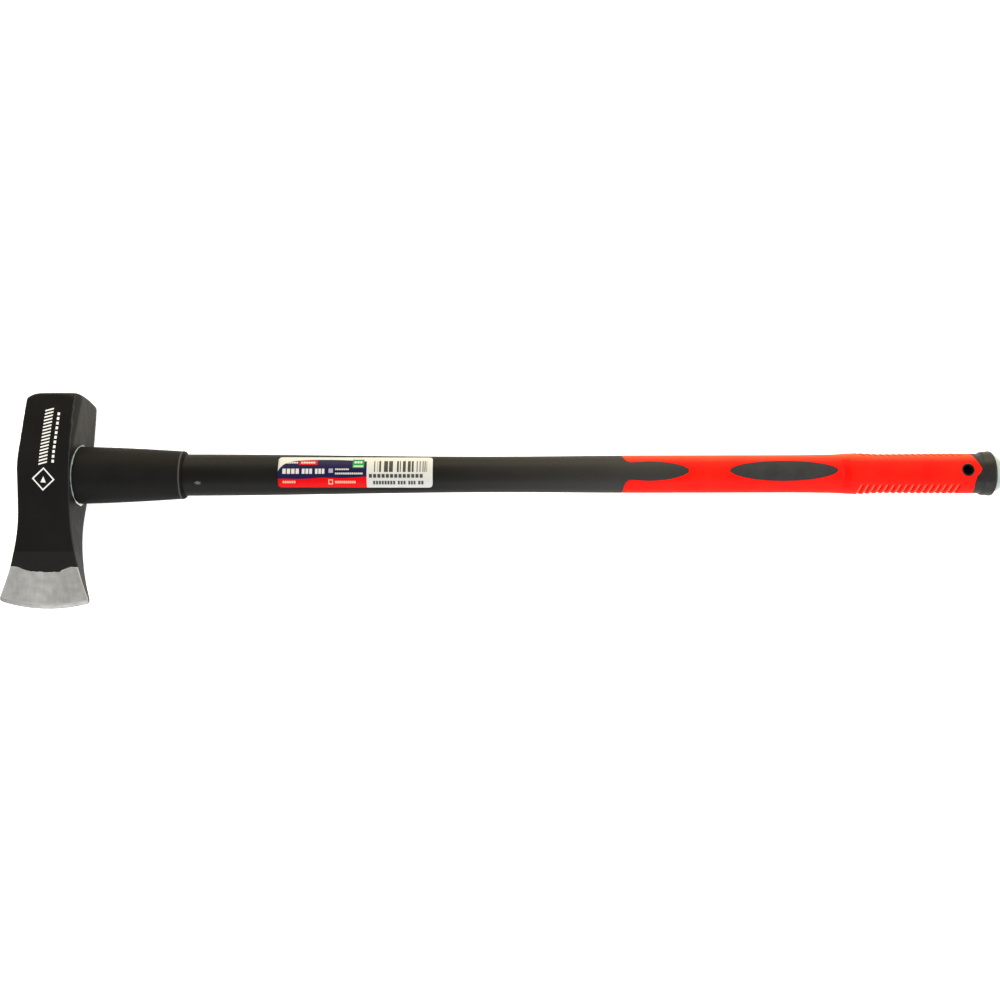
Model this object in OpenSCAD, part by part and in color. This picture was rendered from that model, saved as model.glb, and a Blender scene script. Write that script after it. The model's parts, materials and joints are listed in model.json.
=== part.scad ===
// Splitting maul lying on its cheek: the handle runs along X with the head at -X,
// the striking poll faces +Y, the cutting edge faces -Y and the thickness is along Z.
// The origin is under the middle of the maul, on the surface that it lies on.

/* [Head] */
// Handle axis to the poll's striking face
poll_reach = 71; // [62:1:80]
// Handle axis to the lowest point of the cutting edge
bit_reach = 123.5; // [115:0.5:135]
// Width of the head at the eye, along the handle
head_width = 46.8; // [44:0.1:54]
// How far the crown side flares out at the toe
toe_flare = 17.7; // [8:0.1:22]
// How far the handle side flares out at the heel
heel_flare = 16.8; // [8:0.1:20]
// Half thickness of the flat cheek lands
cheek_half = 31.6; // [30:0.1:34]
// Radius of the cutting edge, seen from the cheek
edge_radius = 144; // [130:1:180]
// Half thickness of the blunt edge itself
edge_half = 0.4; // [0.3:0.1:1.5]
// Handle-side bevel of the poll at the striking face, measured along the handle
under_bevel_along = 3.5; // [2:0.5:7]
// Handle-side bevel of the poll at the striking face, measured through the thickness
under_bevel_through = 11; // [6:1:20]
// Crown-side bevel of the poll at the striking face, measured along the handle
crown_bevel_along = 5; // [2:0.5:7]
// Crown-side bevel of the poll at the striking face, measured through the thickness
crown_bevel_through = 17; // [6:1:20]
// How far the poll's handle side leans out towards the handle
poll_lean = 4.3; // [1:0.1:6]

/* [Eye] */
// Half height of the tapered eye at the handle side
eye_half_in = 17.5; // [15:0.5:18.5]
// Half height of the tapered eye at the crown side
eye_half_out = 19.5; // [18:0.5:21]
// Thickness of the eye as a share of its height
eye_ratio = 0.8; // [0.75:0.01:0.9]
// Radius of the fibreglass rod
core_radius = 10.5; // [9:0.5:11]

/* [Handle] */
// Overall length of the maul
overall_length = 914; // [900:1:930]
// Thickness of the handle as a share of its height
handle_ratio = 0.85; // [0.82:0.01:0.95]
// Half height of the jacket at its waist
waist_half = 16.7; // [16:0.1:18]
// How much the jacket swells from the waist to the head end
head_end_swell = 2.65; // [1:0.05:3.2]
// How much the jacket swells from the waist to the grip
grip_end_swell = 0.8; // [0.3:0.05:1.5]
// Length of the rubber collar, from the head to its lip
collar_length = 98.6; // [80:0.1:110]
// Half height of the collar at the head
collar_half_in = 26.5; // [24:0.1:28]
// Half height of the collar at its lip
collar_half_out = 22.3; // [21.5:0.1:24]

/* [Grip] */
// Length of the red grip, from its mouth to the tip of its chevron
grip_length = 326; // [320:1:327]
// Wall of the soft grip
grip_wall = 2.5; // [2:0.1:2.8]
// Depth of the chevron at the butt end of the grip
chevron_depth = 5; // [3:0.5:6]
// Length of each oval inlay
pad_length = 99; // [80:1:104]
// Height of each oval inlay
pad_height = 19; // [14:0.5:22]
// Length of the black tongue that points into the grip
tongue_length = 60; // [40:1:75]
// Height of the tongue where it is widest
tongue_height = 18.4; // [12:0.2:20]
// Number of anti-slip grooves along each edge of the grip
groove_count = 16; // [8:1:16]
// Spacing of the anti-slip grooves
groove_pitch = 5.9; // [5:0.1:5.9]

/* [Butt] */
// Radius of the hang hole
hole_radius = 4.6; // [3.5:0.1:4.8]
// Half height of the butt flange
flange_half = 20.8; // [20:0.1:22]
// How far the domed plug stands out of the butt
dome_length = 8.7; // [7:0.1:10]
// Half height of the domed plug
plug_half = 17.4; // [14:0.1:18]

/* [Label] */
// Length of the sticker along the handle
label_length = 141; // [100:1:150]
// Height of the sticker, straight across
label_height = 28; // [20:0.5:29]

/* [Hidden] */
$fn = 96;
tiny = 0.01;
far = 400;

// The handle axis, in the part's frame
axis_y = (bit_reach - poll_reach) / 2;
axis_z = cheek_half;

// Stations along X, from the toe to the butt
toe_x = -overall_length / 2;
crown_x = toe_x + toe_flare;
under_x = crown_x + head_width;
lip_x = under_x + collar_length;
label_x = -136.5;
waist_x = -5;
grip_x = 108;
pad_x = 254.3;
cross_groove_x = 311.7;
swell_x = 323;
first_groove_x = 325;
core_end_x = 405;
hole_x = 422;
grip_end_x = grip_x + grip_length;
flange_x = 437;
butt_x = overall_length / 2;
rim_x = butt_x - dome_length;

// Head profile seen along the handle: v is the distance from the handle axis to the bit
shoulder_half = 30.2;
bevel_half = 7.7;
bevel_v = 98;
land_from = 50;
land_to = 14;
poll_half = cheek_half - 1;
function wedge_half(v) =
    bevel_half + (shoulder_half - bevel_half) * pow(max(bevel_v - v, 0) / bevel_v, 1.25);

// Both sides of the head flare out to the cutting edge, which is an arc whose lowest point
// lies a little towards the handle from the middle
edge_shift = 4.3;
flare_v = 36;
flare_reach = 80.3;
function flare(v) = pow(max(v - flare_v, 0) / flare_reach, 1.87);
edge_x = (toe_x + under_x + heel_flare) / 2 + edge_shift;
edge_y = edge_radius - bit_reach;

// The grind: distance in from the cutting edge and half thickness, where each facet begins
micro_from = 4.5;
micro_half = 2.5;
grind_from = 36;
grind_half = 9.2;

// The poll's corner bevels run out on the cheeks this far from the striking face
under_run_out = 43;
crown_run_out = 70;
poll_corner = 15;

// Above this height the handle side of the head leans out to the poll
lean_from = 30;

// Half height of the jacket and of the grip at x
function ease(u) = (1 - cos(180 * min(max(u, 0), 1))) / 2;
function jacket_half(x) = waist_half + head_end_swell * ease((waist_x - x) / 300)
    + grip_end_swell * ease((x - waist_x) / 140);
function grip_half(x) = jacket_half(x) + 0.6 * ease((x - 260) / 60)
    + 0.9 * ease(1 - abs(x - swell_x) / 24) + 0.5 * ease((x - 340) / 90);
inner_half = jacket_half(grip_x) - grip_wall;
inner_ratio = (handle_ratio * waist_half - grip_wall) / (waist_half - grip_wall);

// Rings of the collar: x, half height, half thickness
lip = 4;
collar_rings = [
    [under_x, collar_half_in, collar_half_in - 1.5],
    [under_x + collar_length * 0.45, (collar_half_in + collar_half_out) / 2 + 0.7, 22.3],
    [lip_x - lip, collar_half_out, 18.2],
    [lip_x, collar_half_out - 2, 17]];
bead_size = 1.6;
bead_ratio = collar_rings[0][2] / collar_rings[0][1];

// Small features
pad_proud = 0.3;
label_thickness = 0.3;
groove_depth = 0.8;
groove_half_width = 1.7;
groove_from_y = 12;
tongue_widest = 22;
mouth_radius = 7;
cross_groove_half = 3.6;
cross_groove_depth = 0.6;
boss_radius = 5.9;
boss_half = 15.6;
spigot_length = 9;
spigot_half = 10;

// 1 would make the plug's dome elliptical, and less makes it squarer
dome_fullness = 0.4;

// Evenly spaced values from a to b, in n steps
function steps(a, b, n) = [for (i = [0:n]) a + (b - a) * i / n];

// An outline given by its upper half, closed by the mirror image below
function mirrored(upper) =
    concat(upper, [for (i = [len(upper) - 1:-1:0]) [upper[i][0], -upper[i][1]]]);

// Moves a piece drawn around the X axis to the handle's place
module at_handle() {
    translate([0, axis_y, axis_z]) children();
}

// A solid of oval section around the X axis, from a list of [x, half height].
// It is made as two mirrored halves that meet on the parting plane.
module oval_bar(outline, ratio) {
    last = len(outline) - 1;
    profile = concat([[0, outline[0][0]]],
                     [for (p = outline) [p[1], p[0]]],
                     [[0, outline[last][0]]]);
    for (side = [0, 1]) mirror([0, side, 0]) intersection() {
        scale([1, 1, ratio]) rotate([0, 90, 0]) rotate_extrude() polygon(profile);
        translate([-far * 2, 0, -far]) cube([far * 4, far, far * 2]);
    }
}

// A prism of an outline in the XY plane, through the handle or up from its middle
module through(half = 40) {
    translate([0, 0, -half]) linear_extrude(2 * half) children();
}
module front_half(side = 1) {
    translate([0, 0, side > 0 ? 0 : -far]) linear_extrude(far) children();
}

// Half height of an inlay's oval at the angle a, as a share of its greatest half height.
// A power of 1 would be an ellipse, and a little more draws its tips out.
function oval_half(a) = sign(cos(a)) * pow(abs(cos(a)), 1.12);

module inlay_oval(length, height) {
    polygon([for (i = [0:47]) let (a = 7.5 * (i + 0.5))
        [sin(a) * length / 2, oval_half(a) * height / 2]]);
}

// The head's outline seen from the cheek: poll, crown side, bit, handle side
module cheek_outline() {
    past_bit = bit_reach + 4;
    corner = [for (a = steps(90, 180, 6))
        [crown_x + poll_corner * (1 + cos(a)), poll_reach - poll_corner * (1 - sin(a))]];
    crown = [for (v = steps(0, past_bit, 20)) [crown_x - toe_flare * flare(v), -v]];
    under = [for (v = steps(past_bit, 0, 20)) [under_x + heel_flare * flare(v), -v]];
    lean = [[under_x, lean_from], [under_x + poll_lean, poll_reach]];
    polygon(concat(corner, crown, under, lean));
}

// The head's outline seen along the handle: poll, cheek land, wedge
module thickness_outline() {
    wedge = [for (v = steps(0, bit_reach + 4, 18)) [-v, wedge_half(v)]];
    poll = [[poll_reach, poll_half], [land_from, cheek_half], [land_to, cheek_half]];
    polygon(mirrored(concat(poll, wedge)));
}

// A disc with a bevelled rim, which gives the cutting edge its curve and its grind
module edge_disc() {
    thick = cheek_half + 5;
    rim = [[0, thick], [edge_radius - 110, thick], [edge_radius - grind_from, grind_half],
           [edge_radius - micro_from, micro_half], [edge_radius, edge_half]];
    translate([edge_x, edge_y, 0]) rotate_extrude($fn = 360) polygon(mirrored(rim));
}

// Cuts one long corner of the poll with a plane that runs out on the cheek, above the handle only.
// out is the side that the corner faces, +1 the handle or -1 the crown. along and deep are the
// bevel's measures on the striking face.
module poll_corner_cut(poll_x, run_out_x, run_out, along, deep, out, up) {
    a = [poll_x - out * along, poll_reach, up * poll_half];
    b = [poll_x, poll_reach, up * (poll_half - deep)];
    c = [run_out_x, poll_reach - run_out, up * cheek_half];
    n = cross(b - a, c - a) / norm(cross(b - a, c - a));
    outward = n[0] * out > 0 ? n : -n;
    intersection() {
        translate(a) rotate([0, acos(outward[2]), atan2(outward[1], outward[0])])
            translate([-far / 2, -far / 2, 0]) cube(far);
        translate([toe_x - far / 2, 0, -far / 2]) cube(far);
    }
}

module eye() {
    oval_bar([[crown_x - tiny, eye_half_out], [under_x + tiny, eye_half_in]], eye_ratio);
}

module core_bar(from_x, to_x) {
    translate([from_x, 0, 0]) rotate([0, 90, 0]) cylinder(h = to_x - from_x, r = core_radius);
}

module maul_head() {
    color([0.12, 0.12, 0.13]) at_handle() difference() {
        intersection() {
            through() cheek_outline();
            translate([toe_x - 1, 0, 0]) rotate([90, 0, 90])
                linear_extrude(far) thickness_outline();
            edge_disc();
        }
        for (up = [-1, 1]) {
            poll_corner_cut(under_x + poll_lean, under_x, under_run_out,
                            under_bevel_along, under_bevel_through, 1, up);
            poll_corner_cut(crown_x, crown_x, crown_run_out,
                            crown_bevel_along, crown_bevel_through, -1, up);
        }
        eye();
    }
}

module eye_epoxy() {
    recess = 1;
    color([0.55, 0.5, 0.35]) at_handle() difference() {
        intersection() {
            eye();
            translate([crown_x + recess, -far / 2, -far / 2])
                cube([head_width - recess, far, far]);
        }
        core_bar(crown_x - 1, under_x + 1);
    }
}

module fibreglass_core() {
    color([0.85, 0.8, 0.6]) at_handle() core_bar(crown_x, core_end_x);
}

module adhesive_bead() {
    half = collar_half_in;
    color([0.62, 0.68, 0.72]) at_handle() difference() {
        oval_bar([[under_x, half + bead_size], [under_x + bead_size / 2, half + bead_size],
                  [under_x + bead_size, half]], bead_ratio);
        oval_bar([[under_x - 1, half], [under_x + bead_size + 1, half]], bead_ratio);
    }
}

// The jacket's smooth outside, with something added all round
module jacket_bar(extra = 0) {
    oval_bar([for (x = steps(under_x, grip_x, 24)) [x, jacket_half(x) + extra]], handle_ratio);
}

module overstrike_collar() {
    color([0.16, 0.16, 0.16]) at_handle() difference() {
        for (i = [0:len(collar_rings) - 2])
            hull() for (ring = [collar_rings[i], collar_rings[i + 1]])
                translate([ring[0], 0, 0]) rotate([0, 90, 0]) scale([ring[2], ring[1], 1])
                    cylinder(h = tiny, r = 1, $fn = 48);
        jacket_bar();
    }
}

// The grip's smooth outside, from its mouth to the flange
module grip_bar(extra = 0) {
    oval_bar([for (x = steps(grip_x, flange_x, 28)) [x, grip_half(x) + extra]], handle_ratio);
}

// The space inside the grip, which the jacket and the butt cap fill
module inside_bar(from_x, to_x) {
    oval_bar([[from_x, inner_half], [to_x, inner_half]], inner_ratio);
}

// The black tongue inside the grip: a waist behind the grip's rounded mouth, then a long oval tip
module tongue_outline() {
    half = tongue_height / 2;
    waist = half - 0.9;
    mouth = [for (a = steps(180, 270, 5))
        [grip_x + mouth_radius * (1 + cos(a)), waist + (mouth_radius + 2) * (1 + sin(a))]];
    tip = [for (a = steps(0, 82.5, 11))
        [grip_x + tongue_widest + (tongue_length - tongue_widest) * sin(a), oval_half(a) * half]];
    polygon(mirrored(concat([[grip_x - 1, mouth[0][1]]], mouth, tip)));
}

// The red grip's reach towards the butt, with a point in the middle of each side
module chevron_outline() {
    start = grip_x - 20;
    polygon([[start, -30], [grip_end_x - chevron_depth, -30],
             [grip_end_x - chevron_depth * 0.6, -16], [grip_end_x - chevron_depth * 0.3, -6],
             [grip_end_x, 1],
             [grip_end_x - chevron_depth, 17], [grip_end_x - chevron_depth, 30], [start, 30]]);
}

module handle_jacket() {
    color([0.1, 0.1, 0.1]) at_handle() difference() {
        union() {
            jacket_bar();
            inside_bar(grip_x - 1, core_end_x);
            intersection() {
                grip_bar();
                through() tongue_outline();
            }
        }
        core_bar(under_x - 1, core_end_x + 1);
    }
}

module product_label() {
    corner = 3;
    color([0.9, 0.9, 0.88]) at_handle() intersection() {
        difference() {
            jacket_bar(label_thickness);
            jacket_bar();
        }
        front_half() translate([label_x, 0]) offset(corner)
            square([label_length - 2 * corner, label_height - 2 * corner], center = true);
    }
}

// Material taken off along both edges of the grip, between the smooth outside and a saw profile
module edge_grooves() {
    from_x = first_groove_x - groove_half_width;
    to_x = first_groove_x + (groove_count - 1) * groove_pitch + groove_half_width;
    saw = [for (i = [0:groove_count - 1], k = [-1, 0, 1])
        let (x = first_groove_x + i * groove_pitch + k * groove_half_width)
        [x, grip_half(x) - (k == 0 ? groove_depth : -tiny)]];
    intersection() {
        difference() {
            oval_bar([[from_x, flange_half], [to_x, flange_half]], handle_ratio);
            oval_bar(saw, handle_ratio);
        }
        for (side = [-1, 1]) translate([from_x - 1, side > 0 ? groove_from_y : -far, -far / 2])
            cube([to_x - from_x + 2, far - groove_from_y, far]);
    }
}

// The shallow groove across the front of the grip, just past the inlay
module cross_groove() {
    from_x = cross_groove_x - cross_groove_half;
    to_x = cross_groove_x + cross_groove_half;
    floor_half = grip_half(cross_groove_x) - cross_groove_depth;
    intersection() {
        difference() {
            oval_bar([[from_x, flange_half], [to_x, flange_half]], handle_ratio);
            oval_bar([[from_x, grip_half(from_x)], [cross_groove_x, floor_half],
                      [to_x, grip_half(to_x)]], handle_ratio);
        }
        front_half() translate([from_x, -13.5]) square([to_x - from_x, 22]);
    }
}

module grip_sleeve() {
    color([0.95, 0.12, 0.1]) at_handle() difference() {
        intersection() {
            grip_bar();
            through() chevron_outline();
        }
        inside_bar(grip_x - 1, grip_end_x + 1);
        through() tongue_outline();
        through() translate([pad_x, 0]) inlay_oval(pad_length, pad_height);
        through() translate([hole_x, 0]) circle(boss_radius);
        edge_grooves();
        cross_groove();
    }
}

// One oval inlay: side is +1 for the front or -1 for the back
module grip_pad(side) {
    color([0.13, 0.13, 0.13]) at_handle() intersection() {
        difference() {
            grip_bar(pad_proud);
            inside_bar(grip_x - 1, flange_x + 1);
        }
        front_half(side) translate([pad_x, 0]) inlay_oval(pad_length, pad_height);
    }
}
module grip_pad_front() { grip_pad(1); }
module grip_pad_back() { grip_pad(-1); }

module butt_cap() {
    flange = [[flange_x, grip_half(flange_x)], [flange_x, flange_half - 0.8],
              [rim_x - 1.7, flange_half], [rim_x - 0.5, flange_half - 0.9],
              [rim_x, plug_half + 0.8]];
    color([0.12, 0.12, 0.12]) at_handle() difference() {
        union() {
            inside_bar(core_end_x, flange_x + 1);
            difference() {
                grip_bar();
                through() chevron_outline();
            }
            oval_bar(flange, handle_ratio);
            translate([hole_x, 0, -boss_half]) cylinder(h = 2 * boss_half, r = boss_radius);
        }
        translate([hole_x, 0, -far / 2]) cylinder(h = far, r = hole_radius);
        oval_bar([[rim_x - spigot_length, spigot_half], [rim_x + 1, spigot_half]], handle_ratio);
    }
}

module butt_plug() {
    dome = [for (a = steps(0, 85, 8))
        [rim_x + dome_length * sin(a), plug_half * pow(cos(a), dome_fullness)]];
    color([0.8, 0.84, 0.83]) at_handle() union() {
        oval_bar([[rim_x - spigot_length, spigot_half], [rim_x + tiny, spigot_half]], handle_ratio);
        oval_bar(concat(dome, [[butt_x, tiny]]), handle_ratio);
    }
}

maul_head();
eye_epoxy();
fibreglass_core();
adhesive_bead();
overstrike_collar();
handle_jacket();
product_label();
grip_sleeve();
grip_pad_front();
grip_pad_back();
butt_cap();
butt_plug();
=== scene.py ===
"""Looks for the splitting maul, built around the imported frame.

Shapes are worked out in millimetres from the handle's axis: x along the handle towards the butt,
y towards the poll and z up from the cheek that the maul lies on. piece() turns them into metres
in the frame. A half height is measured along y, and a half thickness along z.
"""

import json
import math

import bmesh
import bpy
import numpy as np
from mathutils import Matrix, Vector


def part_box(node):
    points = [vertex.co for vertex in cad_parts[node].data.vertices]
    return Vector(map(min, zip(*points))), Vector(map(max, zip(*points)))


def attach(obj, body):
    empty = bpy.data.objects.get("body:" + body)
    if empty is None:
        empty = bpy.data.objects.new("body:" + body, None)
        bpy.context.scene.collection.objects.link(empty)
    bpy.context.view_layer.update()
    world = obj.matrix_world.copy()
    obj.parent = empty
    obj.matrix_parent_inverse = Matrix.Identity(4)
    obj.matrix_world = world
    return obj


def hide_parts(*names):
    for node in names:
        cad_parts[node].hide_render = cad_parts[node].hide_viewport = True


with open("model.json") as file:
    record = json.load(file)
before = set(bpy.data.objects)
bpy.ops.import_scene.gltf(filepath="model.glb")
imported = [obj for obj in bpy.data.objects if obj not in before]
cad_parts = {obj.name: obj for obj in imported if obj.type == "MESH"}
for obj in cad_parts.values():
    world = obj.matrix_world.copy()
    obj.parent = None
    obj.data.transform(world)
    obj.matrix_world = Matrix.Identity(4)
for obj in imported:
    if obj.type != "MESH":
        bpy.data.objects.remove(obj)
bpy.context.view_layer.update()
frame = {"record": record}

MM = 0.001

# ---------------------------------------------------------------------------
# Stations and sizes from the frame
# ---------------------------------------------------------------------------


def box_mm(node):
    """Lowest and highest corner of a CAD node in millimetres."""
    lo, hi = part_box(node)
    return lo / MM, hi / MM


head_lo, head_hi = box_mm("maul_head")
core_lo, core_hi = box_mm("fibreglass_core")
collar_lo, collar_hi = box_mm("overstrike_collar")
grip_lo, grip_hi = box_mm("grip_sleeve")
pad_lo, pad_hi = box_mm("grip_pad_front")
cap_hi = box_mm("butt_cap")[1]
plug_hi = box_mm("butt_plug")[1]
label_lo, label_hi = box_mm("product_label")
hang_hole = next(m for m in frame["record"]["mounts"] if m["name"] == "hang_hole")

AXIS = (core_lo + core_hi) / 2
TOE_X = head_lo.x
CROWN_X = core_lo.x
UNDER_X = collar_lo.x
LIP_X = collar_hi.x
GRIP_X = grip_lo.x
GRIP_END_X = grip_hi.x
ROD_RADIUS = core_hi.y - AXIS.y
HOLE_X = hang_hole["pos_m"][0] / MM
HOLE_RADIUS = hang_hole["dims"]["r_mm"]
RIM_X = cap_hi.x
FLANGE_LENGTH = 11.3
FLANGE_X = RIM_X - FLANGE_LENGTH
BUTT_X = plug_hi.x
PLUG_HALF = plug_hi.y - AXIS.y
POLL_Y = head_hi.y - AXIS.y
BIT_Y = head_lo.y - AXIS.y
CHEEK_HALF = AXIS.z
PAD_X = (pad_lo.x + pad_hi.x) / 2
PAD_LENGTH = pad_hi.x - pad_lo.x
PAD_HEIGHT = pad_hi.y - pad_lo.y
LABEL_X = (label_lo.x + label_hi.x) / 2
LABEL_LENGTH = label_hi.x - label_lo.x
LABEL_HEIGHT = label_hi.y - label_lo.y

# ---------------------------------------------------------------------------
# Mesh tools
# ---------------------------------------------------------------------------


def points_of(bm):
    return np.array([v.co for v in bm.verts]).reshape(-1, 3)


def ease(u):
    """0 below 0, 1 above 1, and a smooth rise between."""
    return (1 - np.cos(np.pi * np.clip(u, 0, 1))) / 2


def bump(u):
    """A smooth hump: 1 at 0, and 0 from -1 and +1 outwards."""
    return ease(1 - np.abs(u))


def stations(*spans):
    """Positions along a line: each span is (from, to, longest step)."""
    found = []
    for start, end, step in spans:
        count = max(1, math.ceil(abs(end - start) / step))
        found.extend(start + (end - start) * i / count for i in range(count))
    found.append(spans[-1][1])
    return found


def loft(rows, closed=False, capped=False):
    """A surface through rows of points. Each row is a closed ring with the same number of points."""
    bm = bmesh.new()
    rings = [[bm.verts.new(p) for p in row] for row in rows]
    pairs = list(zip(rings, rings[1:]))
    if closed:
        pairs.append((rings[-1], rings[0]))
    for ring, after in pairs:
        count = len(ring)
        for i in range(count):
            j = (i + 1) % count
            bm.faces.new((ring[i], ring[j], after[j], after[i]))
    if capped:
        bm.faces.new(list(reversed(rings[0])))
        bm.faces.new(rings[-1])
    return bm


def oval(x, half_y, half_z, count=120):
    """A ring of points round the handle's axis."""
    angles = [2 * math.pi * i / count for i in range(count)]
    return [(x, half_y * math.cos(a), half_z * math.sin(a)) for a in angles]


NEARLY_ON_LINE = 0.15


def cut_along(bm, field):
    """Cuts the faces that the line field = 0 crosses, so that the line becomes edges.
    A vertex that is almost on the line is moved onto it, which leaves no slivers."""
    bm.verts.ensure_lookup_table()
    bm.verts.index_update()
    level = field(points_of(bm))
    on_line = {}
    for edge in bm.edges:
        for vert, other in (edge.verts, reversed(edge.verts)):
            here, there = level[vert.index], level[other.index]
            if here * there < 0 and abs(here) < NEARLY_ON_LINE * abs(here - there):
                on_line.setdefault(vert, vert.co.lerp(other.co, here / (here - there)))
    for vert, place in on_line.items():
        vert.co = place
        level[vert.index] = 0
    fresh = list(on_line)
    for edge in list(bm.edges):
        a, b = edge.verts
        here, there = level[a.index], level[b.index]
        if here * there < 0:
            fresh.append(bmesh.utils.edge_split(edge, a, here / (here - there))[1])
    bmesh.ops.connect_verts(bm, verts=fresh)


ROLL_LINES = (0, 0.1, 0.35, 1)


def trim(bm, depth, roll):
    """Keeps the surface where depth, the distance in from the rim, is positive.
    It also cuts the lines that the rim's rounding needs."""
    for share in ROLL_LINES:
        cut_along(bm, lambda p: depth(p) - share * roll)
    centres = np.array([f.calc_center_median() for f in bm.faces])
    outside = [f for f, d in zip(bm.faces, depth(centres)) if d < 0]
    bmesh.ops.delete(bm, geom=outside, context="FACES")


def rim_drop(depth, roll):
    """How far a rounded rim has fallen at that depth in from the edge."""
    u = 1 - np.clip(depth / roll, 0, 1)
    return -roll * (1 - np.sqrt(1 - u * u))


def oval_normal(points, ratio):
    """The outward direction on a bar whose half thickness is ratio times its half height."""
    n = points * (0, ratio * ratio, 1)
    return n / np.linalg.norm(n, axis=1)[:, None]


def thicken(bm, inner):
    """Closes an open surface into a solid, with inner holding the far side's points."""
    outer_faces = list(bm.faces)
    outer_verts = list(bm.verts)
    rim = [e.link_loops[0] for e in bm.edges if e.is_boundary]
    rim = [(loop.vert, loop.link_loop_next.vert) for loop in rim]
    far = {v: bm.verts.new(p) for v, p in zip(outer_verts, inner)}
    for face in outer_faces:
        bm.faces.new([far[v] for v in reversed(face.verts)])
    for a, b in rim:
        bm.faces.new((b, a, far[a], far[b]))


def shell(rows, ratio, depth, roll, wall, relief=None):
    """A moulded wall on an oval bar: the bar's surface where depth is positive, with a rounded rim.
    relief gives how far the surface stands out of the smooth bar."""
    bm = loft(rows)
    trim(bm, depth, roll)
    base = points_of(bm)
    out = oval_normal(base, ratio)
    lift = rim_drop(depth(base), roll)
    if relief is not None:
        lift = lift + relief(base)
    for vert, place in zip(bm.verts, base + out * lift[:, None]):
        vert.co = place
    thicken(bm, base - out * wall)
    return bm


def raised(height):
    """A relief that is the same everywhere."""
    return lambda points: np.full(len(points), height)


def inside(outline):
    """A field for a closed outline in the xy plane: the distance in from it, negative outside."""
    start = np.array(outline, float)
    along = np.roll(start, -1, axis=0) - start
    length_squared = (along ** 2).sum(1)

    def field(points):
        gap = points[:, None, :2] - start[None]
        share = np.clip((gap * along).sum(2) / length_squared, 0, 1)
        distance = np.linalg.norm(gap - share[..., None] * along, axis=2).min(1)
        y, from_y = points[:, 1, None], start[None, :, 1]
        spans = (from_y > y) != (from_y + along[None, :, 1] > y)
        with np.errstate(divide="ignore", invalid="ignore"):
            crossing_x = start[None, :, 0] + (y - from_y) / along[None, :, 1] * along[None, :, 0]
        within = (spans & (points[:, 0, None] < crossing_x)).sum(1) % 2 == 1
        return np.where(within, distance, -distance)

    return field


def mirrored(upper):
    """An outline from its upper half."""
    return upper + [(x, -y) for x, y in reversed(upper)]


def piece(name, bm, material, slot, *nodes):
    """Makes a piece from a mesh in millimetres from the handle's axis."""
    bmesh.ops.recalc_face_normals(bm, faces=bm.faces)
    for face in bm.faces:
        face.smooth = True
    mesh = bpy.data.meshes.new(name)
    bm.to_mesh(mesh)
    bm.free()
    mesh.transform(Matrix.Scale(MM, 4) @ Matrix.Translation((0, AXIS.y, AXIS.z)))
    mesh.materials.append(material)
    obj = bpy.data.objects.new(name, mesh)
    bpy.context.scene.collection.objects.link(obj)
    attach(obj, "root")
    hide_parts(*nodes)
    return obj


def store(obj, name, values):
    """Gives each vertex a number that the piece's material can read."""
    layer = obj.data.attributes.new(name, "FLOAT", "POINT")
    layer.data.foreach_set("value", np.asarray(values, np.float32))


# ---------------------------------------------------------------------------
# Material tools
# ---------------------------------------------------------------------------


class Field:
    """A number that varies over a surface: a node's output, with Python's arithmetic."""

    def __init__(self, paint, socket):
        self.paint = paint
        self.socket = socket

    def __add__(self, other):
        return self.paint.math("ADD", self, other)

    def __sub__(self, other):
        return self.paint.math("SUBTRACT", self, other)

    def __rsub__(self, other):
        return self.paint.math("SUBTRACT", other, self)

    def __mul__(self, other):
        return self.paint.math("MULTIPLY", self, other)

    __radd__ = __add__
    __rmul__ = __mul__

    def one(self, operation, other=0.0):
        """Any other operation of the Math node."""
        return self.paint.math(operation, self, other)

    def above(self, edge, soft):
        """0 below the edge and 1 above it, with a step 2 * soft wide."""
        node = self.paint.node("ShaderNodeMapRange")
        node.inputs["From Min"].default_value = edge - soft
        node.inputs["From Max"].default_value = edge + soft
        self.paint.links.new(self.socket, node.inputs["Value"])
        return Field(self.paint, node.outputs["Result"])


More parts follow.
